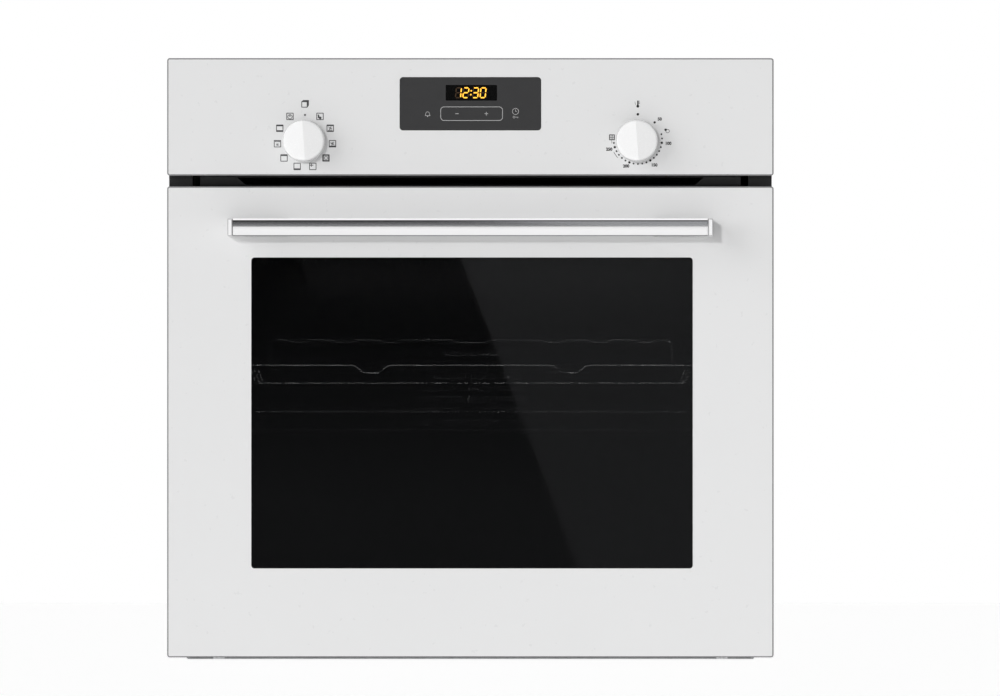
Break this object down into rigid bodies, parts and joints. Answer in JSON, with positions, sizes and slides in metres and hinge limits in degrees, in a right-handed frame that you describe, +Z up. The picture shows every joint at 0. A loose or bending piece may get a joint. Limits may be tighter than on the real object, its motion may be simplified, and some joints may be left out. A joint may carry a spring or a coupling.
{
  "type": "built-in wall oven",
  "caption": "Built-in electric wall oven with white glass front, drop-down door with dark window and bar handle, rotary knobs, clock display and an enamelled cavity with shelf and tray",
  "frame": {"origin": "middle of the footprint, on the underside of the housing", "axes": "+X to the user's right across the front, +Z up, the front faces -Y and the housing goes back along +Y"},
  "size_m": [0.594, 0.613, 0.59],
  "materials": {
    "galvanised_steel": "zinc-coated sheet, matt with spangle",
    "grey_paint": "dark grey stove paint, satin",
    "dark_enamel": "dark vitreous enamel, glossy with fine speckle",
    "white_glass": "float glass back-printed white, polished, ground edge",
    "clear_glass": "heat-reflecting float glass, polished",
    "display_black": "dark tinted lens, satin gloss",
    "white_plastic": "moulded white thermoset, satin",
    "black_plastic": "black moulded plastic, fine texture",
    "bright_steel": "bright stainless steel, fine lengthways brushing",
    "chrome_wire": "bright nickel-chrome plated wire",
    "machined_steel": "pressed and machined steel",
    "heater_sheath": "oxidised heater sheath, matt",
    "mineral_wool": "mineral wool blanket",
    "seal_rubber": "braided and silicone heat seal",
    "ceramic": "white steatite ceramic",
    "brass": "drawn copper alloy, dull"
  },
  "bodies": {
    "housing": {"base_panel": "galvanised_steel", "left_side_panel": "galvanised_steel", "right_side_panel": "galvanised_steel", "top_cover": "galvanised_steel", "rear_cover": "galvanised_steel", "panel_carrier": "galvanised_steel", "air_duct": "galvanised_steel", "blower_housing": "galvanised_steel", "left_front_flange": "grey_paint", "right_front_flange": "grey_paint", "front_frame": "dark_enamel", "oven_cavity": "dark_enamel", "fan_baffle": "dark_enamel", "control_panel": "white_glass", "lamp_glass": "clear_glass", "lamp_bulb": "clear_glass", "display_plate": "display_black", "clock_module": "black_plastic", "air_outlet": "black_plastic", "terminal_cover": "black_plastic", "left_shelf_ladder": "chrome_wire", "right_shelf_ladder": "chrome_wire", "fan_motor": "machined_steel", "blower_motor": "machined_steel", "thermostat": "machined_steel", "left_hinge_ear": "machined_steel", "right_hinge_ear": "machined_steel", "left_hinge_pin": "machined_steel", "right_hinge_pin": "machined_steel", "grill_heater": "heater_sheath", "bottom_heater": "heater_sheath", "ring_heater": "heater_sheath", "insulation": "mineral_wool", "door_seal": "seal_rubber", "function_switch": "ceramic", "lamp_socket": "ceramic", "terminal_block": "ceramic", "thermostat_probe": "brass"},
    "door": {"door_outer_glass": "white_glass", "door_middle_glass": "clear_glass", "door_inner_glass": "clear_glass", "left_door_stile": "galvanised_steel", "right_door_stile": "galvanised_steel", "door_top_rail": "black_plastic", "door_bottom_rail": "galvanised_steel", "handle_bar": "bright_steel", "left_handle_foot": "bright_steel", "right_handle_foot": "bright_steel", "left_hinge_leaf": "machined_steel", "right_hinge_leaf": "machined_steel"},
    "function_selector": {"function_knob": "white_plastic", "function_spindle": "machined_steel"},
    "temperature_selector": {"temperature_knob": "white_plastic", "temperature_spindle": "machined_steel"},
    "fan": {"convection_fan": "machined_steel", "fan_shaft": "machined_steel"},
    "blower": {"blower_rotor": "galvanised_steel"},
    "shelf": {"wire_shelf": "chrome_wire"},
    "tray": {"baking_tray": "dark_enamel", "roasting_grid": "chrome_wire"}
  },
  "joints": [
    {"name": "door_hinge", "type": "hinge", "parent": "housing", "child": "door", "pos_m": [0, -0.2495, 0.008], "axis": [1, 0, 0], "range_deg": [0, 90], "stiffness_Nm_per_rad": 6, "springref_deg": -28.65},
    {"name": "function_turn", "type": "hinge", "parent": "housing", "child": "function_selector", "pos_m": [-0.163, -0.2615, 0.509], "axis": [0, 1, 0], "continuous": true},
    {"name": "temperature_turn", "type": "hinge", "parent": "housing", "child": "temperature_selector", "pos_m": [0.163, -0.2615, 0.509], "axis": [0, 1, 0], "range_deg": [0, 262]},
    {"name": "fan_turn", "type": "hinge", "parent": "housing", "child": "fan", "pos_m": [0, 0.1985, 0.2535], "axis": [0, 1, 0], "continuous": true},
    {"name": "blower_turn", "type": "hinge", "parent": "housing", "child": "blower", "pos_m": [0, 0.1585, 0.5], "axis": [0, 0, 1], "continuous": true},
    {"name": "shelf_slide", "type": "slide", "parent": "housing", "child": "shelf", "axis": [0, -1, 0], "range_m": [0, 0.024]},
    {"name": "tray_slide", "type": "slide", "parent": "housing", "child": "tray", "axis": [0, -1, 0], "range_m": [0, 0.024]}
  ]
}
